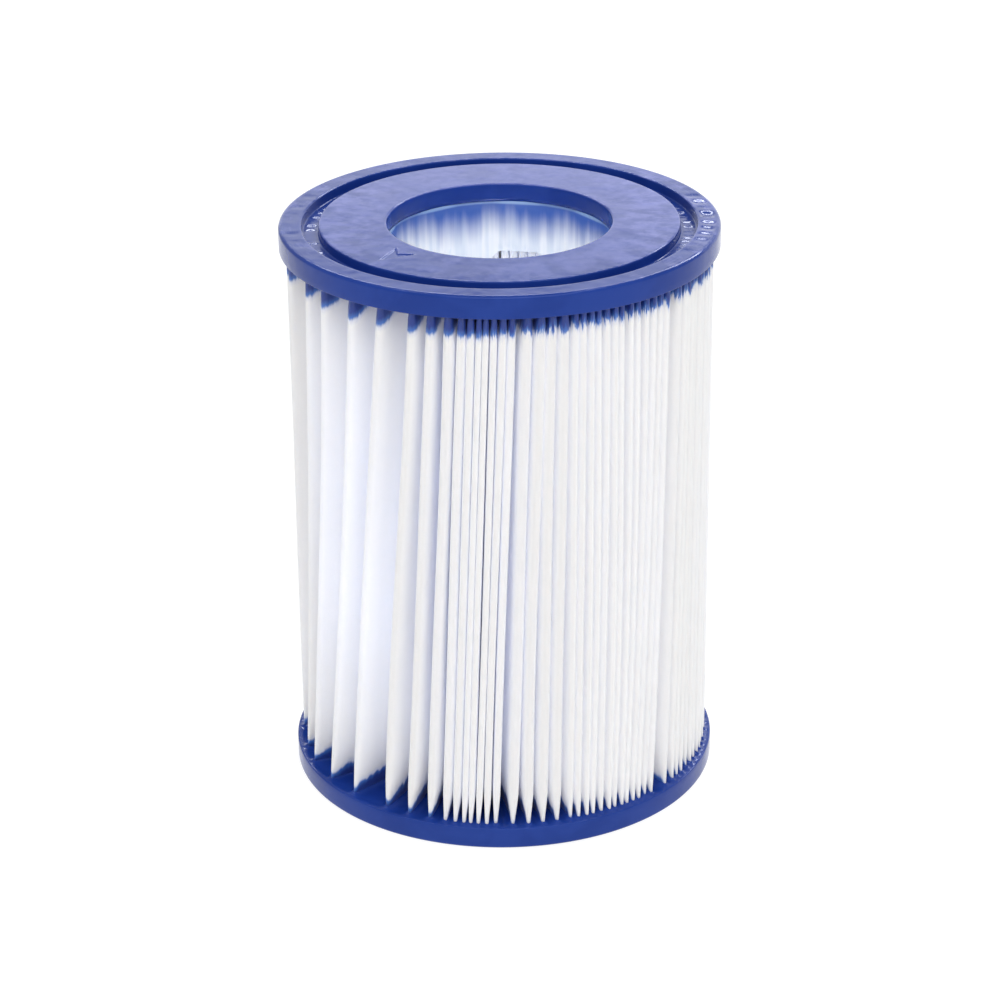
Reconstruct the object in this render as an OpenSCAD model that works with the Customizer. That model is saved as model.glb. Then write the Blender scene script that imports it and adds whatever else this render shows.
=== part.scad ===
// Pleated filter cartridge: two moulded end caps, a perforated core tube and one folded sheet of
// filter fabric whose ends meet in a glued seam. The cartridge stands on its bottom cap, +Z up,
// with the origin at the centre of the bottom cap's outer face.

/* [Overall] */
// Outside diameter of both end caps
cap_d = 104; // [90:1:130]
// Height from outer face to outer face
total_h = 140; // [90:1:220]

/* [End caps] */
// Thickness of each end cap
cap_h = 5.4; // [4.6:0.1:8]
// Diameter of the hole through each end cap
bore_d = 53; // [40:0.5:60]
// Radius on the cap's outer corner
rim_round = 0.8; // [0.3:0.1:1.5]
// Radius on the mouth of the hole
mouth_round = 0.5; // [0.2:0.1:0.8]
// Width of the outer ring, from the rim to the groove
ring_w = 5.5; // [4:0.1:8]
// Width of the groove in the outer face
groove_w = 4; // [2.5:0.1:6]
// Depth of the groove in the outer face
groove_depth = 2.4; // [1:0.1:2.8]
// Material left between the groove's floor and the ends of the pleats
end_skin = 0.4; // [0.3:0.1:0.8]
// Depth that the core tube sits into the cap's inner face
core_seat = 1; // [0.5:0.1:1.6]

/* [Top mark] */
// Length of the arrowhead sunk into the top cap
mark_size = 8; // [3:0.5:10]
// Depth of the arrowhead
mark_depth = 0.3; // [0.2:0.05:0.5]
// Direction of the arrowhead from the centre, in degrees
mark_angle = 225; // [0:5:355]

/* [Core tube] */
// Wall of the core tube
core_wall = 1.2; // [0.8:0.1:2]
// Step from the cap's hole out to the inside of the core tube
core_step = 0.3; // [0.1:0.1:1]
// Windows around the tube, an even number
window_count = 8; // [4:2:10]
// Rows of windows
window_rows = 5; // [2:1:8]
// Width of a window
window_w = 13.8; // [6:0.2:14]
// Height of the ring between two rows of windows
window_bar = 4; // [2:0.5:8]
// Radius on a window's corners
window_round = 3; // [1:0.5:3]
// Direction of one column of windows, in degrees
window_angle = 80; // [45:1:90]
// Plain tube left at each end
plain_end = 13; // [8:0.5:20]

/* [Filter fabric] */
// Thickness of the fabric
fabric_t = 0.38; // [0.25:0.01:0.45]
// Space between the two layers inside a fold
fold_gap = 0.2; // [0.1:0.05:0.3]
// Distance of the outer folds inside the cap's rim
tip_inset = 1.5; // [0.8:0.1:4]
// Space between the core tube and the inner folds
core_clearance = 0.15; // [0.05:0.05:1]
// Share of an even spacing in how the inner folds stand
root_evening = 0.15; // [0:0.05:0.3]
// Swing of each outer fold about its place, in degrees
tip_jitter = 0.2; // [0:0.05:0.3]

/* [Seam] */
// Thickness of the glue between the ends of the sheet
glue_t = 0.6; // [0.3:0.1:1]
// Width of the strip of glue, inwards along the pleat
glue_w = 6; // [3:0.5:10]
// Bare edge of the sheet outside the strip of glue
glue_inset = 0.5; // [0.3:0.1:2]

/* [Hidden] */
$fn = 96;
over = 1; // how far a cutter passes beyond the surface that it opens

cap_r = cap_d / 2;
bore_r = bore_d / 2;
groove_outer_r = cap_r - ring_w;
groove_inner_r = groove_outer_r - groove_w;

core_inner_r = bore_r + core_step;
core_outer_r = core_inner_r + core_wall;
core_z0 = cap_h - core_seat;
core_z1 = total_h - core_z0;
window_h = (core_z1 - core_z0 - 2 * plain_end - (window_rows - 1) * window_bar) / window_rows;

media_z0 = groove_depth + end_skin;
media_z1 = total_h - media_z0;
tip_r = cap_r - tip_inset;
root_r = core_outer_r + core_clearance;
fold_w = 2 * fabric_t + fold_gap;

// How the pleats have settled around the cartridge, from the seam at the back round by -X:
// [pleats, slack]. Folds stand as close as they can touch at the core, and the rest of the turn
// is shared out by slack, which comes to about one degree each.
seam_angle = 90;
bunches = [
    [6, 3], [8, 1.5], [8, 2],
    [1, 11], [1, 6], [2, 8.5], [1, 10], [1, 6], [1, 4.5], [1, 2.8], [1, 1.4],
    [4, 0.3], [1, 1], [2, 2.6], [1, 2.2], [1, 1.7], [1, 2.2], [4, 0.3], [1, 0.6],
    [5, 0.05], [1, 0.8], [1, 0.05], [1, 4.5], [1, 1.8], [1, 0.1], [10, 1],
    [21, 2.5],
];
slacks = [for (b = bunches) for (k = [1:b[0]]) b[1]];
pleat_count = len(slacks);
touching = fold_w / root_r * 180 / PI;

function sum(list, n) = n <= 0 ? 0 : list[n - 1] + sum(list, n - 1);
slack_share = (360 - pleat_count * touching) / sum(slacks, pleat_count);
steps = [for (s = slacks) touching + s * slack_share];

// The outer fold that starts pleat i, where pleat 0 is the seam and pleat_count closes the ring.
function jitter(i) = i == 0 || i == pleat_count ? 0 : tip_jitter * sin(137 * i);
tip_angles = [for (i = [0:pleat_count]) seam_angle + sum(steps, i) + jitter(i)];

// The inner fold between outer folds i and i + 1.
function even_angle(i) = seam_angle + 360 / pleat_count * (i + 0.5);
function middle_angle(i) = (tip_angles[i] + tip_angles[i + 1]) / 2;
root_angles = [
    for (i = [0:pleat_count - 1])
        middle_angle(i) + root_evening * (even_angle(i) - middle_angle(i))
];

// A point at radius r on the ray at angle a, moved aside by s in the direction of a rising angle.
function beside(r, a, s) = [r * cos(a) - s * sin(a), r * sin(a) + s * cos(a)];
function between(p, q, share) = p + share * (q - p);
function backwards(list) = [for (i = [len(list) - 1:-1:0]) list[i]];

// One face of the sheet, from the seam round to the seam: rt and rr are its radii at the outer and
// inner folds, wt and wr its widths across them, and s its distance from the seam's middle.
function sheet_face(rt, rr, wt, wr, s) = concat(
    [beside(tip_r, tip_angles[0], s)],
    [for (i = [0:pleat_count - 1]) for (p = concat(
        [beside(rr, root_angles[i], -wr / 2), beside(rr, root_angles[i], wr / 2)],
        i == pleat_count - 1 ? [] :
            [beside(rt, tip_angles[i + 1], -wt / 2), beside(rt, tip_angles[i + 1], wt / 2)]
    )) p],
    [beside(tip_r, tip_angles[pleat_count], -s)]
);
outer_face = sheet_face(tip_r, root_r + fabric_t, fold_w, fold_gap, glue_t / 2 + fabric_t);
inner_face = sheet_face(tip_r - fabric_t, root_r, fold_gap, fold_w, glue_t / 2);

// The glue fills the space between the sheet's two ends. With a spread it reaches that far into
// the sheet on both sides, so that a pocket for the sheet and the glue has no film between them.
glue_shares = [glue_inset, glue_inset + glue_w] / (tip_r - root_r);
seam_side = [-sin(seam_angle), cos(seam_angle)];
last = len(inner_face) - 1;
function glue_outline(spread) = [
    for (share = glue_shares) between(inner_face[0], inner_face[1], share) + spread * seam_side,
    for (share = backwards(glue_shares))
        between(inner_face[last], inner_face[last - 1], share) - spread * seam_side,
];

// The shape to take away for a convex round of radius r on a corner at the origin, facing +X +Y.
module corner_cut(r) {
    difference() {
        translate([-over, -over]) square(r + over);
        translate([r, r]) circle(r);
    }
}

// Half of a cap's section: radius along X, height above the outer face along Y.
module cap_section() {
    difference() {
        translate([bore_r, 0]) square([cap_r - bore_r, cap_h]);
        translate([cap_r, 0]) mirror([1, 0]) corner_cut(rim_round);
        translate([bore_r, 0]) corner_cut(mouth_round);
        translate([groove_inner_r, -over]) square([groove_w, groove_depth + over]);
        translate([bore_r - over, core_z0]) square([core_outer_r - bore_r + over, core_seat + over]);
    }
}

module cap_blank() {
    rotate_extrude() cap_section();
}

// What stands in the caps, so that the caps are cast round it.
module potted_ends() {
    pleated_media();
    between_caps() polygon(glue_outline(fabric_t / 2));
}

module arrowhead() {
    middle_r = (bore_r + groove_inner_r) / 2;
    rotate(mark_angle) translate([middle_r, 0, total_h - mark_depth])
        linear_extrude(mark_depth + over)
            polygon(mark_size / 2 * [[1, 0], [-1, 0.8], [-0.4, 0], [-1, -0.8]]);
}

module top_end_cap() {
    color("royalblue") difference() {
        translate([0, 0, total_h]) mirror([0, 0, 1]) cap_blank();
        potted_ends();
        arrowhead();
    }
}

module bottom_end_cap() {
    color("royalblue") difference() {
        cap_blank();
        potted_ends();
    }
}

module rounded_window() {
    linear_extrude(2 * (core_outer_r + over), center = true) union() {
        square([window_w - 2 * window_round, window_h], center = true);
        square([window_w, window_h - 2 * window_round], center = true);
        for (x = [-1, 1], y = [-1, 1])
            translate([x * (window_w / 2 - window_round), y * (window_h / 2 - window_round)])
                circle(window_round);
    }
}

module core_tube() {
    color("whitesmoke") difference() {
        translate([0, 0, core_z0]) cylinder(r = core_outer_r, h = core_z1 - core_z0);
        translate([0, 0, core_z0 - over]) cylinder(r = core_inner_r, h = core_z1 - core_z0 + 2 * over);
        for (row = [0:window_rows - 1], k = [0:window_count / 2 - 1])
            translate([0, 0, core_z0 + plain_end + window_h / 2 + row * (window_h + window_bar)])
                rotate([90, 0, window_angle - 90 + k * 360 / window_count])
                    rounded_window();
    }
}

// The full height of the sheet, which ends inside both caps.
module between_caps() {
    translate([0, 0, media_z0]) linear_extrude(media_z1 - media_z0) children();
}

module pleated_media() {
    color("white") between_caps() polygon(concat(outer_face, backwards(inner_face)));
}

module media_seam() {
    color("ivory") between_caps() polygon(glue_outline(0));
}

top_end_cap();
bottom_end_cap();
core_tube();
pleated_media();
media_seam();
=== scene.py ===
"""A pleated filter cartridge: two cast blue caps, a milky core tube and one folded white sheet.

Sizes here are in millimetres and angles in degrees round +Z, until a mesh or a light is made.
"""

import math

import bmesh
import bpy
import numpy as np
from mathutils import Matrix, Vector
from mathutils.kdtree import KDTree


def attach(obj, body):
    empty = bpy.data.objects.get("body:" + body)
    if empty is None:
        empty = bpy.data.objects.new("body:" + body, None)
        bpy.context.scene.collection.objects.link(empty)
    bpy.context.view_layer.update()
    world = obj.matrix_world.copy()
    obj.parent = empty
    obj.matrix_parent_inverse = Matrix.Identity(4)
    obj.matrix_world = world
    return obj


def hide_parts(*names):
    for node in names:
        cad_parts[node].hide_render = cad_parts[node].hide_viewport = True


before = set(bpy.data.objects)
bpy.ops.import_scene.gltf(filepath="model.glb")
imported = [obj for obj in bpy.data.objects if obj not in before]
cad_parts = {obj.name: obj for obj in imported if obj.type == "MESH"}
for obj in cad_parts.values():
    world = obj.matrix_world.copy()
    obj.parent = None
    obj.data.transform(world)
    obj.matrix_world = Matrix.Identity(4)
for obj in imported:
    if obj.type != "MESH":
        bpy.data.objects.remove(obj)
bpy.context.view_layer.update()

MM = 0.001


# ---------------------------------------------------------------- the frame's own sizes


def cad_points(node):
    """A CAD node's points in millimetres, each one once."""
    points = np.array([v.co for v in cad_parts[node].data.vertices]) / MM
    return np.unique(points.round(3), axis=0)


def pair_means(values):
    """The middles of the values taken two by two, in rising order."""
    return np.sort(values).reshape(-1, 2).mean(axis=1)


SAME = 0.005  # points this near in height or radius are on one face

cap = cad_points("bottom_end_cap")
cap_radii = np.hypot(cap[:, 0], cap[:, 1])
cap_r = cap_radii.max()
cap_h = cap[:, 2].max()
total_h = cad_points("top_end_cap")[:, 2].max()
bore_r = cap_radii.min()
face_edges = np.unique(cap_radii[cap[:, 2] < SAME].round(1))
mouth_out, plateau_out, ring_in, ring_out = face_edges
in_groove = (cap_radii > plateau_out - SAME) & (cap_radii < ring_in + SAME)
groove_depth = cap[in_groove & (cap[:, 2] > SAME), 2].min()

core = cad_points("core_tube")
core_radii = np.hypot(core[:, 0], core[:, 1])
core_in, core_out = core_radii.min(), core_radii.max()
core_z0, core_z1 = core[:, 2].min(), core[:, 2].max()

sheet = cad_points("pleated_media")
sheet_z0, sheet_z1 = sheet[:, 2].min(), sheet[:, 2].max()
SEAM_ANGLE = 90
sheet_foot = sheet[sheet[:, 2] < sheet_z0 + SAME, :2]
foot_radii = np.hypot(sheet_foot[:, 0], sheet_foot[:, 1])
foot_angles = (np.degrees(np.arctan2(sheet_foot[:, 1], sheet_foot[:, 0])) - SEAM_ANGLE) % 360
tip_r, root_r = foot_radii.max(), foot_radii.min()
tip_angles = pair_means(foot_angles[foot_radii > tip_r - SAME])
root_angles = pair_means(foot_angles[foot_radii < root_r + SAME])
sheet_ends = sheet_foot[np.argsort(np.where(foot_radii > tip_r - SAME, foot_angles, 999))[:2]]
sheet_t = np.linalg.norm(sheet_ends[0] - sheet_ends[1])
glue = cad_points("media_seam")


# ---------------------------------------------------------------- small helpers


def waves(seed, count, low, high):
    """A smooth random function of a turn in degrees: count sines of low to high ripples a turn."""
    rng = np.random.default_rng(seed)
    ripples = rng.integers(low, high + 1, count)
    phases = rng.uniform(0, 2 * np.pi, count)
    sizes = rng.uniform(0.5, 1, count)
    sizes /= np.sqrt((sizes**2).sum() / 2)

    def at(degrees, twist=0.0):
        turn = np.radians(np.asarray(degrees, float))[..., None]
        shift = np.asarray(twist, float)[..., None]
        return (sizes * np.sin(ripples * turn + phases + ripples * shift)).sum(-1)

    return at


def smooth(value, low, high):
    """0 below low, 1 above high and a smooth step between."""
    x = np.clip((np.asarray(value, float) - low) / (high - low), 0, 1)
    return x * x * (3 - 2 * x)


def bump_at(degrees, centre, half_width):
    """1 at centre, falling smoothly to 0 at half_width degrees from it."""
    away = np.abs((np.asarray(degrees, float) - centre + 180) % 360 - 180)
    return 1 - smooth(away, 0, half_width)


def quads(rows, columns, close_rows=False, close_columns=False):
    """The faces of a grid of points, whose columns run fastest."""
    r = np.arange(rows if close_rows else rows - 1)[:, None]
    c = np.arange(columns if close_columns else columns - 1)[None, :]
    r1, c1 = (r + 1) % rows, (c + 1) % columns
    corners = [r * columns + c, r * columns + c1, r1 * columns + c1, r1 * columns + c]
    return np.stack(corners, axis=-1).reshape(-1, 4)


def add_mesh(name, points, faces, inside_out=False):
    """An object from points in millimetres, smooth shaded."""
    mesh = bpy.data.meshes.new(name)
    if inside_out:
        faces = [tuple(f)[::-1] for f in faces]
    mesh.from_pydata((np.asarray(points) * MM).tolist(), [], [tuple(map(int, f)) for f in faces])
    mesh.shade_smooth()
    thing = bpy.data.objects.new(name, mesh)
    bpy.context.scene.collection.objects.link(thing)
    return thing


def polar(r, degrees, z):
    """Points in space at radius r and that angle."""
    a = np.radians(degrees)
    x, y = r * np.cos(a), r * np.sin(a)
    return np.stack(np.broadcast_arrays(x, y, z), axis=-1)


# ---------------------------------------------------------------- the folded sheet

LEVELS = 30  # heights at which the folds are placed
ARC = 5  # points round a fold
FLANK = 4  # points along a wall between two folds
LOOSE_STEP = 7.0  # degrees between outer folds that stand quite free
SHUT_FOLD = 0.22  # half the width of a fold that is pressed flat, to the sheet's middle
OPEN_FOLD = 1.0  # half the width of a fold that stands free
FOLD_SHARE = 0.3  # half the width of a fold between near neighbours, as a share of their gap
TIGHT_ROOT, WIDE_ROOT = 0.3, 0.75  # half the width of an inner fold, to the sheet's middle
PINCHED = 9  # how far from the bottom cap a fold takes to open
PINCHED_TOP = 4  # and how far from the top cap
SWAY = 0.35  # how far all the folds of one side wander together at mid height

def wring(degrees, height):
    """How far round from the frame's place the sheet is at a height, as the pack was cast twisted.

    The feet stand off a little at the left, and the tops lean towards +X from their feet.
    """
    front = (np.asarray(degrees) + SEAM_ANGLE + 90 + 180) % 360 - 180
    foot = 2.4 * smooth(front, -80, -52) * (1 - smooth(front, -40, 8))
    lean = 16 * smooth(front, -160, -76) - 10 * smooth(front, -62, -8)
    lean = lean - 4.8 * smooth(front, -6, 24) - 1.2 * smooth(front, 60, 100)
    lean = lean + 3.4 * smooth(front, 30, 43) * (1 - smooth(front, 44, 70))
    return foot + lean * height * (1.2 - 0.2 * height)


gaps = np.diff(tip_angles)
nearest = np.minimum(np.r_[gaps[0], gaps], np.r_[gaps, gaps[-1]])
room = smooth(nearest, 2.2, LOOSE_STEP)  # from 0, pressed, to 1, free, for each outer fold
fold_half = (FOLD_SHARE * np.radians(nearest) * tip_r).clip(SHUT_FOLD, OPEN_FOLD)
root_gaps = np.diff(root_angles)
nearest_root = np.minimum(np.r_[root_gaps[0], root_gaps], np.r_[root_gaps, root_gaps[-1]])
root_half = (np.radians(nearest_root) * root_r / 2 - sheet_t).clip(TIGHT_ROOT, WIDE_ROOT)


def sheet_outline(height):
    """The sheet's middle line at a height from 0 to 1 between its ends, as points in X and Y."""
    rng = np.random.default_rng(7)
    swell = math.sin(math.pi * height)
    wobble = math.sin(2 * math.pi * height)
    z = sheet_z0 + height * (sheet_z1 - sheet_z0)
    open_share = smooth(z - cap_h, -1, PINCHED) * smooth(total_h - cap_h - z, -4, PINCHED_TOP)

    own = rng.normal(size=(4, len(tip_angles))).clip(-1.6, 1.6)
    wander = 0.1 + 0.35 * room  # how far a fold strays by itself
    aside = SWAY * swell * sway(tip_angles)
    aside = aside + wander * (own[0] * swell + 0.6 * own[1] * wobble)
    out = tip_r - 0.15 - wander * swell * np.abs(own[2]) - 0.2 * np.abs(own[3])
    half = SHUT_FOLD + (fold_half - SHUT_FOLD) * open_share
    seam = np.zeros(len(tip_angles))
    seam[[0, -1]] = 1
    aside, out = aside * (1 - seam), out * (1 - seam) + tip_r * seam
    tips = np.radians(tip_angles + SEAM_ANGLE + wring(tip_angles, height)) + aside / tip_r

    root_own = rng.normal(size=len(root_angles)).clip(-1.5, 1.5)
    roots = np.radians(root_angles + SEAM_ANGLE + wring(root_angles, height))
    roots = roots + 0.12 * swell * root_own / root_r
    inner = root_r + sheet_t / 2

    line = [out[0] * np.array([math.cos(tips[0]), math.sin(tips[0])])]
    turn = np.radians(np.linspace(-90, 90, ARC))
    for i, root in enumerate(roots):
        ray = np.array([math.cos(root), math.sin(root)])
        side = np.array([-ray[1], ray[0]])
        w = root_half[i]
        centre = (inner + w) * ray
        fold = centre - w * (np.cos(turn)[:, None] * ray - np.sin(turn)[:, None] * side)
        line += wall(line[-1], fold[0], -out_ray(tips[i]), -ray, bow(i, own, swell))
        line += list(fold)
        last = i == len(roots) - 1
        ray_out = out_ray(tips[i + 1])
        side = np.array([-ray_out[1], ray_out[0]])
        if last:
            fold = [out[-1] * ray_out]
        else:
            w = half[i + 1]
            centre = (out[i + 1] - w) * ray_out
            fold = list(
                centre + w * (np.cos(turn)[:, None] * ray_out + np.sin(turn)[:, None] * side)
            )
        line += wall(line[-1], fold[0], ray, ray_out, -bow(i + 1, own, swell))
        line += fold
    return np.array(line)


def out_ray(angle):
    return np.array([math.cos(angle), math.sin(angle)])


def bow(i, own, swell):
    """How far a wall next to outer fold i bellies out of the pleat."""
    return (0.12 + 0.5 * room[i]) * swell * (0.6 + 0.4 * own[2, i])


def wall(start, end, leave, arrive, belly):
    """The points between two folds, on a curve that leaves and arrives along the given rays."""
    span = np.linalg.norm(end - start)
    u = np.linspace(0, 1, FLANK + 2)[1:-1, None]
    a, b = 2 * u**3 - 3 * u**2 + 1, -2 * u**3 + 3 * u**2
    c, d = u**3 - 2 * u**2 + u, u**3 - u**2
    across = np.array([-(end - start)[1], (end - start)[0]]) / span
    line = a * start + b * end + span * (c * leave + d * arrive)
    return list(line + belly * np.sin(np.pi * u) * across)


sway = waves(3, 5, 2, 9)


def level_heights():
    """Heights from 0 to 1, closer together near the caps."""
    even = np.linspace(0, 1, LEVELS)
    return even - 0.08 * np.sin(2 * np.pi * even)


outlines = np.array([sheet_outline(h) for h in level_heights()])


def make_sheet():
    """The sheet with its thickness, as one closed skin."""
    ahead = np.gradient(outlines, axis=1)
    ahead /= np.linalg.norm(ahead, axis=2, keepdims=True)
    across = np.stack([-ahead[..., 1], ahead[..., 0]], axis=-1) * sheet_t / 2
    z = sheet_z0 + level_heights() * (sheet_z1 - sheet_z0)
    z = np.repeat(z[:, None, None], outlines.shape[1], axis=1)
    one = np.concatenate([outlines + across, z], axis=2)
    other = np.concatenate([outlines - across, z], axis=2)
    # a ring of points round the sheet's cut section for each step along it
    ring = np.concatenate([one, other[::-1]], axis=0).transpose(1, 0, 2)
    steps, around = ring.shape[:2]
    faces = list(quads(steps, around, close_columns=True))
    for step in (0, steps - 1):
        base = step * around
        for j in range(LEVELS - 1):
            face = [base + j, base + j + 1, base + around - 2 - j, base + around - 1 - j]
            faces.append(face if step == 0 else face[::-1])
    return add_mesh("filter_sheet", ring.reshape(-1, 3), faces)


# ---------------------------------------------------------------- the cast caps

EDGE = 0.35  # radius on the edges of the groove
FILLET = 0.3  # radius in the corners of the groove
SKIRT_EDGE = 0.25  # radius on the skirt's inner edge
rim_round = cap_r - ring_out
mouth_round = mouth_out - bore_r
SWIRL, SLOW_WAVE = 0.018, 0.02  # height of the swirls and the slow waves on the raised ring
RIDGE, RIDGE_W = 0.35, 0.45  # height and half width of a pleat's end that shows in the groove
CREEP, CREEP_REACH, SINK = 1.3, 0.7, 0.25  # how the resin climbs at the cloth, and sinks between
MARK_ANGLE, MARK_SIZE, MARK_DEPTH = 225, 8, 0.3
MARK_MARGIN = 0.5  # width of the fine rows beyond the mark
MARK_SHAPE = np.array([[1, 0], [-1, 0.8], [-0.4, 0], [-1, -0.8]])


def arc(centre_r, centre_h, radius, start, stop, count):
    """Section points (r, h) on an arc; 0 degrees points to +r and 90 to +h."""
    a = np.radians(np.linspace(start, stop, count))
    return np.stack([centre_r + radius * np.cos(a), centre_h + radius * np.sin(a)], axis=1)


def flat(r0, r1, h, count):
    """Section points between two radii at one height, without the two ends."""
    r = np.linspace(r0, r1, count + 2)[1:-1]
    return np.stack([r, np.full(count, h)], axis=1)


def upright(r, h0, h1, count):
    h = np.linspace(h0, h1, count + 2)[1:-1]
    return np.stack([np.full(count, r), h], axis=1)


def cap_section(fine):
    """The closed section of a cap: r, and h from its outer face; with each stretch's rows."""
    seat = core_z0
    mark_r = (bore_r + plateau_out) / 2
    mark_in = mark_r - MARK_SIZE / 2 - MARK_MARGIN
    mark_out = mark_r + MARK_SIZE / 2 + MARK_MARGIN
    rough = 9 if fine else 8
    plateau = [
        flat(mouth_out, mark_in, 0, rough),
        flat(mark_in, mark_out, 0, 24 if fine else 5),
        flat(mark_out, plateau_out - EDGE, 0, rough),
    ]
    stretches = {
        "bore": upright(bore_r, seat, mouth_round, 3),
        "mouth": arc(bore_r + mouth_round, mouth_round, mouth_round, 180, 270, 6),
        "plateau": np.concatenate(plateau),
        "plateau_edge": arc(plateau_out - EDGE, EDGE, EDGE, 270, 360, 5),
        "groove_wall_in": upright(plateau_out, EDGE, groove_depth - FILLET, 2),
        "groove_corner_in": arc(plateau_out + FILLET, groove_depth - FILLET, FILLET, 180, 90, 4),
        "groove_floor": flat(plateau_out + FILLET, ring_in - FILLET, groove_depth, 9),
        "groove_corner_out": arc(ring_in - FILLET, groove_depth - FILLET, FILLET, 90, 0, 4),
        "groove_wall_out": upright(ring_in, groove_depth - FILLET, EDGE, 2),
        "ring_edge": arc(ring_in + EDGE, EDGE, EDGE, 180, 270, 5),
        "ring": flat(ring_in + EDGE, ring_out, 0, 10),
        "rim": arc(ring_out, rim_round, rim_round, 270, 360, 7),
        "skirt": upright(cap_r, rim_round, cap_h - SKIRT_EDGE, 2),
        "skirt_edge": arc(cap_r - SKIRT_EDGE, cap_h - SKIRT_EDGE, SKIRT_EDGE, 0, 90, 4),
        "inner_face": flat(cap_r - SKIRT_EDGE, core_out, cap_h, 26 if fine else 34),
        "seat": np.array([[core_out, cap_h], [core_out, seat], [bore_r, seat]]),
    }
    rows, start = {}, 0
    for name, points in stretches.items():
        rows[name] = slice(start, start + len(points))
        start += len(points)
    return np.concatenate(list(stretches.values())), rows


def inside_by(points, outline):
    """How far points are inside a closed outline, negative outside."""
    inside = np.zeros(points.shape[:-1], bool)
    away = np.full(points.shape[:-1], 1e9)
    for p, q in zip(outline, np.roll(outline, -1, axis=0)):
        d = q - p
        t = np.clip(((points - p) * d).sum(-1) / (d @ d), 0, 1)
        away = np.minimum(away, np.linalg.norm(points - p - t[..., None] * d, axis=-1))
        crosses = (p[1] > points[..., 1]) != (q[1] > points[..., 1])
        x = p[0] + (points[..., 1] - p[1]) * d[0] / (d[1] if d[1] else 1e-9)
        inside ^= crosses & (points[..., 0] < x)
    return np.where(inside, away, -away)


def cloth_distance(outline, points):
    """How far each point in X and Y is from the sheet's middle line."""
    dense = np.concatenate(
        [outline[:-1] + share * np.diff(outline, axis=0) for share in np.linspace(0, 1, 8)[:-1]]
    )
    tree = KDTree(len(dense))
    for i, (x, y) in enumerate(dense):
        tree.insert((x, y, 0), i)
    tree.balance()
    flat_points = points.reshape(-1, 2)
    return np.array([tree.find((x, y, 0))[2] for x, y in flat_points]).reshape(points.shape[:-1])


def make_cap(name, top):
    """A cap as one closed lathe skin with the waves, ridges and creep of a poured casting."""
    section, rows = cap_section(fine=top)
    turns = np.linspace(0, 360, 601 if top else 721)[:-1]
    if top:
        near_mark = np.linspace(MARK_ANGLE - 7, MARK_ANGLE + 7, 113)
        turns = np.unique(np.concatenate([turns, near_mark]).round(4))
    r = np.repeat(section[:, :1], len(turns), axis=1)
    h = np.repeat(section[:, 1:], len(turns), axis=1)
    seed = 20 if top else 40

    # slow swirls where the resin was poured, strongest at the left and back
    face = rows["plateau"]
    swirl = waves(seed, 9, 18, 60)
    slow = waves(seed + 1, 4, 1, 5)
    patch = smooth(slow(turns), -0.6, 1.4)
    fade = np.sin(np.pi * np.linspace(0, 1, face.stop - face.start))[:, None]
    h[face] += SWIRL * swirl(turns, 0.02 * (r[face] - bore_r)) * patch * fade
    h[face] += SLOW_WAVE * slow(turns, 0.05 * r[face]) * fade

    # ripples over the outer ring, strongest at the right
    face = rows["ring"]
    ripple = waves(seed + 2, 6, 24, 80)
    strength = 0.006 + 0.14 * bump_at(turns, -2, 34) + 0.015 * bump_at(turns, 170, 50)
    fade = np.sin(np.pi * np.linspace(0, 1, face.stop - face.start))[:, None] ** 0.5
    h[face] += strength * (0.8 + ripple(turns, 0.004 * r[face])) * fade
    h = np.maximum(h, 0)

    # the ends of some pleats show through the floor of the groove
    face = rows["groove_floor"]
    rng = np.random.default_rng(seed + 3)
    across = np.sin(np.pi * np.linspace(0, 1, face.stop - face.start))[:, None] ** 0.4
    for tip in tip_angles + SEAM_ANGLE:
        shows = rng.uniform(0.2, 1) * max(bump_at(tip, 180, 42), bump_at(tip, 5, 45))
        off = np.radians((turns - tip + 180) % 360 - 180) * r[face]
        h[face] -= RIDGE * shows * np.exp(-((off / RIDGE_W) ** 2)) * across

    if top:
        face = rows["plateau"]
        a = np.radians(turns - MARK_ANGLE)
        local = np.stack([r[face] * np.cos(a), r[face] * np.sin(a)], axis=-1)
        local[..., 0] -= (bore_r + plateau_out) / 2
        deep = inside_by(local, MARK_SHAPE * MARK_SIZE / 2)
        h[face] += MARK_DEPTH * smooth(deep, -0.1, 0.15)

    # the resin creeps up the cloth round each wall of the sheet
    face = rows["inner_face"]
    outline = outlines[-1] if top else outlines[0]
    points = polar(r[face], turns, 0)[..., :2]
    away = np.maximum(cloth_distance(outline, points) - sheet_t / 2, 0)
    inward = np.linspace(0, 1, face.stop - face.start)[:, None]
    ends = smooth(inward, 0, 0.06) * (1 - smooth(inward, 0.94, 1))
    h[face] += (CREEP * np.exp(-away / CREEP_REACH) - SINK) * ends

    z = total_h - h if top else h
    points = polar(r, turns, z)
    faces = quads(len(section), len(turns), close_rows=True, close_columns=True)
    return add_mesh(name, points.reshape(-1, 3), faces, inside_out=not top)


# ---------------------------------------------------------------- the core tube

WINDOW_ROWS, WINDOW_COUNT = 5, 8
WINDOW_W, WINDOW_BAR, WINDOW_ROUND = 13.8, 4, 3
WINDOW_ANGLE = 80
PLAIN_END = 13
SOFT_EDGE = 0.3  # radius on the edges of the windows
EDGE_HOLD = 0.35  # width of the flat ring round a window's edge, which keeps the shading there


def window_loop(width, height, radius, per_corner):
    """A rounded window's outline about the origin, from the middle of its right side."""
    corners = []
    for k, (sx, sy) in enumerate([(1, 1), (-1, 1), (-1, -1), (1, -1)]):
        a = np.radians(np.linspace(90 * k, 90 * k + 90, per_corner))
        x = sx * (width / 2 - radius) + radius * np.cos(a)
        y = sy * (height / 2 - radius) + radius * np.sin(a)
        corners.append(np.stack([x, y], axis=1))
    return np.concatenate(corners)


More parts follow.
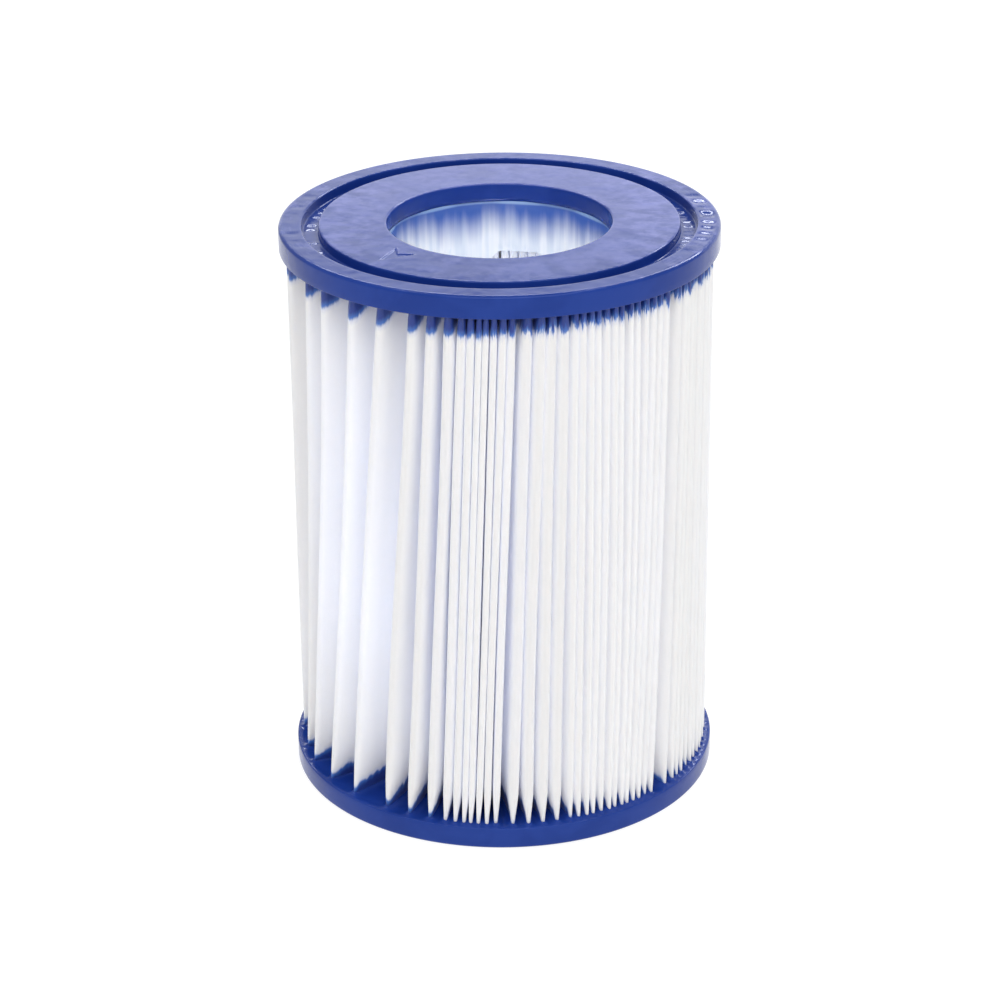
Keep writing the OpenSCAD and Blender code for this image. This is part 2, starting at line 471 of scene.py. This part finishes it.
def make_core():
    """The tube with rows of windows whose edges are rounded."""
    pitch = 360 / WINDOW_COUNT
    length = core_z1 - core_z0
    window_h = (length - 2 * PLAIN_END - (WINDOW_ROWS - 1) * WINDOW_BAR) / WINDOW_ROWS
    middle = (core_in + core_out) / 2
    half_wall = (core_out - core_in) / 2
    cell_w = math.radians(pitch) * middle
    cell_h = window_h + WINDOW_BAR
    per_corner = 7
    hole = window_loop(WINDOW_W, window_h, WINDOW_ROUND, per_corner)
    # the cell's edge has a point for each point of the window, and its true corners
    square = window_loop(cell_w, cell_h, 1e-6, per_corner)
    spread = hole / [WINDOW_W / 2, window_h / 2]
    longest = np.abs(spread).max(axis=1, keepdims=True)
    square = spread / longest * [cell_w / 2, cell_h / 2]
    corner_rows = per_corner // 2 + per_corner * np.arange(4)
    square[corner_rows] = np.sign(hole[corner_rows]) * [cell_w / 2, cell_h / 2]

    # section of the window's edge: distance into the hole's plane, and half depth
    a = np.radians(np.linspace(90, 0, 4))
    lip = np.stack([SOFT_EDGE * (1 - np.cos(a)), half_wall - SOFT_EDGE * (1 - np.sin(a))], axis=1)
    outer = [(SOFT_EDGE + EDGE_HOLD, half_wall)] + list(map(tuple, lip))
    edge = outer + [(d, -h) for d, h in outer[::-1]]

    points, faces = [], []
    n = len(hole)
    for row in range(WINDOW_ROWS):
        z = core_z0 + PLAIN_END + window_h / 2 + row * cell_h
        for k in range(WINDOW_COUNT):
            turn = WINDOW_ANGLE + k * pitch
            loops = [(square, half_wall)]
            for inset, depth in edge:
                grown = window_loop(
                    WINDOW_W + 2 * inset, window_h + 2 * inset, WINDOW_ROUND + inset, per_corner
                )
                loops.append((grown, depth))
            loops.append((square, -half_wall))
            base = len(points)
            for loop, depth in loops:
                at = turn + np.degrees(loop[:, 0] / middle)
                points += list(polar(middle + depth, at, z + loop[:, 1]))
            faces += list(base + quads(len(loops), n, close_columns=True))
    # plain ends, as rings that share the cells' outer points
    marks = np.unique(np.round(square[:, 0][np.isclose(square[:, 1], cell_h / 2)], 6))
    turns = np.concatenate(
        [WINDOW_ANGLE + k * pitch + np.degrees(marks[:-1] / middle) for k in range(WINDOW_COUNT)]
    )
    low = core_z0 + PLAIN_END - WINDOW_BAR / 2
    high = core_z1 - PLAIN_END + WINDOW_BAR / 2
    for near, far in ((low, core_z0), (high, core_z1)):
        inward = math.copysign(SOFT_EDGE, near - far)
        profile = [
            (core_out, near),
            (core_out, (near + far) / 2),
            (core_out, far + inward),
            (core_out - SOFT_EDGE, far),
            (core_in + SOFT_EDGE, far),
            (core_in, far + inward),
            (core_in, (near + far) / 2),
            (core_in, near),
        ]
        base = len(points)
        for r, z in profile:
            points += list(polar(r, turns, z))
        faces += list(base + quads(len(profile), len(turns), close_columns=True))
    tube = add_mesh("slotted_core", points, faces)
    clean(tube)
    return tube


def clean(thing):
    """Joins points that coincide and turns every face outwards."""
    work = bmesh.new()
    work.from_mesh(thing.data)
    bmesh.ops.remove_doubles(work, verts=work.verts, dist=0.01 * MM)
    bmesh.ops.recalc_face_normals(work, faces=work.faces)
    work.to_mesh(thing.data)
    work.free()
    thing.data.shade_smooth()


# ---------------------------------------------------------------- the glued seam


def make_seam():
    """The strip of glue between the sheet's two ends, squeezed out unevenly along its edges."""
    r0, r1 = glue[:, 1].min(), glue[:, 1].max()
    z0, z1 = glue[:, 2].min() + 0.2, glue[:, 2].max() - 0.2
    half_in = np.abs(glue[glue[:, 1] < r0 + SAME, 0]).max()
    half_out = np.abs(glue[glue[:, 1] > r1 - SAME, 0]).max()
    rng = np.random.default_rng(11)
    z = np.linspace(z0, z1, 120)
    lumps = np.convolve(rng.normal(size=len(z) + 8), np.ones(9) / 3, mode="valid")
    around = np.radians(np.linspace(0, 360, 21)[:-1])
    middle, reach = (r0 + r1) / 2, (r1 - r0) / 2
    x_shape = np.sign(np.cos(around)) * np.abs(np.cos(around)) ** 0.35
    y_shape = np.sign(np.sin(around)) * np.abs(np.sin(around)) ** 0.6
    y = middle + (reach + 0.12 * lumps[:, None]) * y_shape
    half = half_in + (half_out - half_in) * (y - r0) / (r1 - r0)
    x = half * x_shape
    points = np.stack(np.broadcast_arrays(x, y, z[:, None]), axis=-1)
    rows, columns = points.shape[:2]
    faces = list(quads(rows, columns, close_columns=True))
    faces += [list(range(columns))[::-1], list((rows - 1) * columns + np.arange(columns))]
    bead = add_mesh("seam_bead", points.reshape(-1, 3), faces)
    clean(bead)
    return bead


# ---------------------------------------------------------------- materials


class Graph:
    """A short way to write a material's nodes."""

    def __init__(self, name):
        self.material = bpy.data.materials.new(name)
        self.material.use_nodes = True
        self.tree = self.material.node_tree
        self.shader = self.tree.nodes["Principled BSDF"]

    def add(self, kind, inputs=(), **settings):
        node = self.tree.nodes.new(kind)
        for key, value in settings.items():
            setattr(node, key, value)
        for key, value in dict(inputs).items():
            self.plug(value, node.inputs[key])
        return node

    def plug(self, value, socket):
        if isinstance(value, bpy.types.NodeSocket):
            self.tree.links.new(value, socket)
        elif value is not None:
            socket.default_value = value

    def math(self, operation, a, b=None):
        node = self.add("ShaderNodeMath", operation=operation)
        for value, socket in zip((a, b), node.inputs):
            self.plug(value, socket)
        return node.outputs[0]

    def place(self):
        """The point on the object in millimetres, then its x, y, z and distance from the axis."""
        at = self.add("ShaderNodeTexCoord").outputs["Object"]
        at = self.add("ShaderNodeVectorMath", {0: at, 1: (1000,) * 3}, operation="MULTIPLY")
        x, y, z = self.add("ShaderNodeSeparateXYZ", {0: at.outputs[0]}).outputs
        level = self.add("ShaderNodeCombineXYZ", {0: x, 1: y})
        r = self.add("ShaderNodeVectorMath", {0: level.outputs[0]}, operation="LENGTH")
        return at.outputs[0], x, y, z, r.outputs["Value"]

    def fan(self, x, y, r, along):
        """A place in which noise makes streaks that run out from the axis."""
        turn = (self.math("DIVIDE", x, r), self.math("DIVIDE", y, r))
        outwards = self.math("MULTIPLY", r, along)
        return self.add("ShaderNodeCombineXYZ", {0: turn[0], 1: turn[1], 2: outwards}).outputs[0]

    def noise(self, at, scale, stretch=(1, 1, 1), detail=3.0, rough=0.55, twist=0.0):
        """Noise from 0 to 1, with features 1 / scale millimetres wide."""
        at = self.add("ShaderNodeVectorMath", {0: at, 1: stretch}, operation="MULTIPLY")
        values = {
            "Vector": at.outputs[0],
            "Scale": scale,
            "Detail": detail,
            "Roughness": rough,
            "Distortion": twist,
        }
        return self.add("ShaderNodeTexNoise", values).outputs["Fac"]

    def step(self, value, low, high, to_low=0.0, to_high=1.0, kind="SMOOTHSTEP"):
        values = {
            "Value": value,
            "From Min": low,
            "From Max": high,
            "To Min": to_low,
            "To Max": to_high,
        }
        node = self.add("ShaderNodeMapRange", values, interpolation_type=kind)
        return node.outputs["Result"]

    def ramp(self, value, low, high, to_low=0.0, to_high=1.0):
        return self.step(value, low, high, to_low, to_high, kind="LINEAR")

    def mix(self, share, a, b):
        node = self.add("ShaderNodeMix", data_type="RGBA")
        self.plug(share, node.inputs["Factor"])
        self.plug(a, node.inputs[6])
        self.plug(b, node.inputs[7])
        return node.outputs[2]

    def bump(self, height, distance, strength):
        values = {"Height": height, "Distance": distance * MM, "Strength": strength}
        return self.add("ShaderNodeBump", values).outputs["Normal"]

    def finish(self, **sockets):
        for key, value in sockets.items():
            self.plug(value, self.shader.inputs[key.replace("_", " ")])
        return self.material


def rgb(red, green, blue):
    """A colour given as 0 to 255 on a screen, as the shader wants it."""
    out = []
    for c in (red / 255, green / 255, blue / 255):
        out.append(c / 12.92 if c <= 0.04045 else ((c + 0.055) / 1.055) ** 2.4)
    return (*out, 1.0)


def vinyl_material():
    """Soft cast vinyl: deep blue and satin, with a cloudy bloom on the faces cast against the mould
    that also carries painted reflection.
    """
    g = Graph("cast_vinyl")
    at, x, y, z, r = g.place()
    cloud = g.noise(at, 0.07, detail=3, twist=0.6)
    haze = g.noise(at, 0.1, detail=3, rough=0.55, twist=0.8)
    fine = g.noise(at, 0.4, detail=2, twist=0.5)
    streaks = g.noise(g.fan(x, y, r, 0.02), 9.0, detail=3)
    turned = g.noise(g.add("ShaderNodeCombineXYZ", {2: r}).outputs[0], 0.9, detail=2)
    colour = g.mix(g.step(cloud, 0.35, 0.65), rgb(24, 52, 130), rgb(30, 58, 138))
    # the bloom lies on the two outer faces and also carries painted reflection: it is painted lighter
    # towards the back and the right, where those faces reflect more light
    from_face = g.math("MINIMUM", z, g.math("SUBTRACT", float(total_h), z))
    on_face = g.step(from_face, 0.1, 0.3, 1, 0)
    side = g.math("ADD", g.math("MULTIPLY", x, 0.35), g.math("MULTIPLY", y, 0.8))
    bloom_and_painted_reflection = g.math("ADD", g.step(haze, 0.34, 0.66, 0.12, 0.28), g.ramp(side, -45, 45, -0.2, 0.16))
    # at the left and the right it lies in outward streaks, partly bloom and partly painted reflection
    # of the shallow radial waves; on the outer ring it lies in circles and is painted thinner, a
    # painted dimming for the ring's weaker reflection
    sides = g.step(g.math("ABSOLUTE", x), 18, 38)
    bloom_streaks_with_painted_reflection = g.math("MULTIPLY", g.step(streaks, 0.38, 0.62, -0.08, 0.2), sides)
    ring = g.step(r, float(plateau_out), float(ring_in), 0, 1)
    ring_circles_with_painted_dimming = g.math("MULTIPLY", g.step(turned, 0.4, 0.6, -0.28, -0.16), ring)
    bloom_and_painted_reflection = g.math("ADD", g.math("ADD", bloom_and_painted_reflection, bloom_streaks_with_painted_reflection), ring_circles_with_painted_dimming)
    bloom_and_painted_reflection = g.math("ADD", bloom_and_painted_reflection, g.step(fine, 0.3, 0.7, -0.05, 0.05))
    bloom_and_painted_reflection = g.math("MULTIPLY", g.math("MAXIMUM", bloom_and_painted_reflection, 0.0), on_face)
    # the lavender mixed in here is the bloom together with painted reflection on the two outer faces
    colour = g.mix(bloom_and_painted_reflection, colour, rgb(132, 138, 208))
    rough = g.step(haze, 0.35, 0.65, 0.1, 0.2)
    swell = g.noise(at, 0.2, detail=1)
    normal = g.bump(swell, 0.2, 0.4)
    g.finish(Base_Color=colour, Roughness=rough, Normal=normal, IOR=1.45)
    g.shader.inputs["Specular IOR Level"].default_value = 0.35
    g.shader.inputs["Specular Tint"].default_value = (0.55, 0.65, 1.0, 1.0)
    return g.material


def cloth_material():
    """Bonded polyester fibre: white and matt, stained by the resin that wicks up at both caps."""
    g = Graph("bonded_polyester")
    at, x, _, z, r = g.place()
    cloud = g.noise(at, 0.25, detail=4)
    fibre = g.noise(at, 3.5, stretch=(1, 1, 0.35), detail=5, rough=0.7, twist=1.5)
    cross = g.noise(at, 3.0, stretch=(0.5, 0.5, 1.6), detail=4, rough=0.7, twist=1.0)
    fibres = g.math("ADD", fibre, cross)
    white = g.mix(g.step(cloud, 0.3, 0.7), rgb(251, 252, 254), rgb(253, 253, 255))
    white = g.mix(g.step(fibres, 0.75, 1.3, 0, 0.3), white, rgb(244, 245, 249))

    deep = g.math("SUBTRACT", float(tip_r), r)
    streak = g.noise(at, 0.9, stretch=(1, 1, 0.12), detail=4, rough=0.7)
    soft = g.noise(at, 0.3, stretch=(1, 1, 0.3), detail=2)
    ragged = g.math("MULTIPLY", g.step(streak, 0.3, 0.7, -1, 1), g.step(x, -20, 10, 0.35, 1.3))
    longest = g.step(x, -22, 26, 5.0, 3.4)
    far_in = g.step(x, -20, -4, 0.05, 0.8)
    hang = g.math("MULTIPLY", longest, g.ramp(deep, 0, 12, 1.0, far_in))
    hang = g.math("ADD", hang, ragged)
    above = g.math("SUBTRACT", z, g.math("SUBTRACT", float(total_h - cap_h), hang))
    # at the left the resin stands against the folds, in front it only fills the gaps between
    left = g.step(x, -24, -12, 1, 0)
    shallow = g.math("MULTIPLY", g.ramp(deep, 0.1, 1.3, 1.0, 0.0), g.math("SUBTRACT", 1.0, left))
    climb = g.math("ADD", g.ramp(deep, 0, 9, 2.0, 4.4), g.step(soft, 0.3, 0.7, -0.6, 0.8))
    climb = g.math("SUBTRACT", climb, g.math("MULTIPLY", shallow, 2.6))
    below = g.math("SUBTRACT", g.math("ADD", float(cap_h), climb), z)
    wet = g.math("MAXIMUM", above, below)
    stain = g.step(wet, -0.7, 0.35)
    blue = g.mix(g.step(wet, 0, 1.8), rgb(62, 110, 186), rgb(24, 56, 138))
    wash = g.step(wet, -2.2, 0.2, 0, 0.45)
    colour = g.mix(stain, g.mix(wash, white, rgb(168, 182, 232)), blue)
    rough = g.step(stain, 0, 1, 0.9, 0.42)
    height = g.math("MULTIPLY", fibres, g.step(stain, 0, 1, 1, 0.2))
    normal = g.bump(height, 0.06, 0.5)
    g.finish(Base_Color=colour, Roughness=rough, Normal=normal)
    g.shader.inputs["Sheen Weight"].default_value = 0.1
    g.shader.inputs["Subsurface Weight"].default_value = 0.8
    g.shader.inputs["Subsurface Radius"].default_value = (0.85, 0.93, 1)
    g.shader.inputs["Subsurface Scale"].default_value = 0.0015
    return g.material


def core_material():
    """Milky translucent polypropylene, tinted by the resin that crept down behind it."""
    g = Graph("milky_polypropylene")
    at, x, _, z, _ = g.place()
    wide = g.noise(at, 0.1, stretch=(1, 1, 0.05), detail=2)
    streak = g.noise(at, 0.35, stretch=(1, 1, 0.05), detail=3, rough=0.5)
    from_top = g.math("SUBTRACT", float(core_z1), z)
    from_foot = g.math("SUBTRACT", z, float(core_z0))
    from_end = g.math("MINIMUM", from_top, from_foot)
    right = g.ramp(x, -10, 24, 0, 0.4)
    reach = g.math("ADD", g.step(wide, 0.3, 0.7, 4.6, 6.6), g.step(streak, 0.3, 0.7, -1.0, 1.6))
    past = g.math("SUBTRACT", g.math("ADD", reach, right), from_end)
    tint = g.step(past, -5.0, 5.0)
    band = g.noise(at, 0.45, stretch=(1, 1, 0.02), detail=3)
    milk = g.mix(g.step(band, 0.38, 0.6), rgb(232, 238, 244), rgb(253, 254, 254))
    colour = g.mix(tint, milk, rgb(66, 102, 184))
    line = g.step(from_end, 0.4, 0.9, 0.8, 0)
    colour = g.mix(line, colour, rgb(150, 182, 225))
    normal = g.bump(band, 0.05, 0.3)
    g.finish(Base_Color=colour, Normal=normal, Roughness=0.32, IOR=1.49)
    g.shader.inputs["Transmission Weight"].default_value = 0.1
    return g.material


def glue_material():
    """Waxy hot-melt glue."""
    g = Graph("hot_melt_glue")
    at = g.place()[0]
    lump = g.noise(at, 0.5, detail=3)
    colour = g.mix(g.step(lump, 0.35, 0.65), rgb(232, 226, 206), rgb(243, 239, 226))
    return g.finish(Base_Color=colour, Normal=g.bump(lump, 0.2, 0.4), Roughness=0.38)


# ---------------------------------------------------------------- the pieces


def place_piece(piece, material, node):
    piece.data.materials.append(material)
    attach(piece, "root")
    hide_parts(node)


vinyl = vinyl_material()
place_piece(make_cap("cast_top_cap", True), vinyl, "top_end_cap")
place_piece(make_cap("cast_bottom_cap", False), vinyl, "bottom_end_cap")
place_piece(make_core(), core_material(), "core_tube")
place_piece(make_seam(), glue_material(), "media_seam")
cloth = make_sheet()
place_piece(cloth, cloth_material(), "pleated_media")


# ---------------------------------------------------------------- floor, light and camera


def make_floor():
    half = 6000
    corners = [(-half, -half, -0.1), (half, -half, -0.1), (half, half, -0.1), (-half, half, -0.1)]
    floor = add_mesh("floor", corners, [(0, 1, 2, 3)])
    g = Graph("pale_floor")
    g.finish(Base_Color=rgb(130, 130, 130), Roughness=0.9)
    g.shader.inputs["Emission Color"].default_value = (1, 1, 1, 1)
    g.shader.inputs["Emission Strength"].default_value = 0.85
    floor.data.materials.append(g.material)


def make_light(name, place, size, power):
    """A softbox at a place in metres that looks at the middle of the cartridge."""
    lamp = bpy.data.lights.new(name, "AREA")
    lamp.shape = "RECTANGLE"
    lamp.size, lamp.size_y = size
    lamp.energy = power
    thing = bpy.data.objects.new(name, lamp)
    aim = Vector((0, 0, total_h / 2 * MM)) - Vector(place)
    thing.visible_camera = False
    thing.location = place
    thing.rotation_euler = aim.to_track_quat("-Z", "Y").to_euler()
    bpy.context.scene.collection.objects.link(thing)


def make_world():
    world = bpy.data.worlds.new("studio")
    world.use_nodes = True
    sky = world.node_tree.nodes["Background"]
    sky.inputs["Color"].default_value = (0.97, 0.985, 1.0, 1)
    sky.inputs["Strength"].default_value = 0.55
    bpy.context.scene.world = world


CAMERA_HEIGHT_ANGLE = 24.11
CAMERA_DISTANCE = 0.745
CAMERA_LENS = 109.76
CAMERA_ROLL = -0.52
CAMERA_SHIFT = (-0.0019, -0.0087)


def make_camera():
    data = bpy.data.cameras.new("camera")
    data.lens = CAMERA_LENS
    data.sensor_width = 36
    data.shift_x, data.shift_y = CAMERA_SHIFT
    data.clip_start = 0.01
    camera = bpy.data.objects.new("camera", data)
    up = math.radians(CAMERA_HEIGHT_ANGLE)
    target = Vector((0, 0, total_h / 2 * MM))
    camera.location = target + CAMERA_DISTANCE * Vector((0, -math.cos(up), math.sin(up)))
    look = (target - camera.location).to_track_quat("-Z", "Y").to_matrix().to_4x4()
    roll = Matrix.Rotation(math.radians(CAMERA_ROLL), 4, "Z")
    camera.rotation_euler = (look @ roll).to_euler()
    bpy.context.scene.collection.objects.link(camera)
    bpy.context.scene.camera = camera


make_floor()
make_world()
make_light("softbox_front", (0.1, -0.95, 1.15), (1.4, 1.0), 11)
make_light("backdrop", (0.3, 1.2, 0.33), (2.0, 0.6), 3.6)
make_light("strip_back", (0.25, 1.0, 0.85), (1.2, 0.14), 7)
make_light("strip_left", (-0.45, 0.0, 1.1), (0.3, 0.08), 1.2)
make_light("strip_right", (0.45, 0.0, 1.1), (0.3, 0.08), 1.2)
make_light("glow_inside", (0.0, 0.0, 0.04), (0.03, 0.03), 0.016)
make_camera()
bpy.context.scene.view_settings.view_transform = "Standard"
bpy.context.scene.cycles.max_bounces = 64
bpy.context.scene.cycles.diffuse_bounces = 60
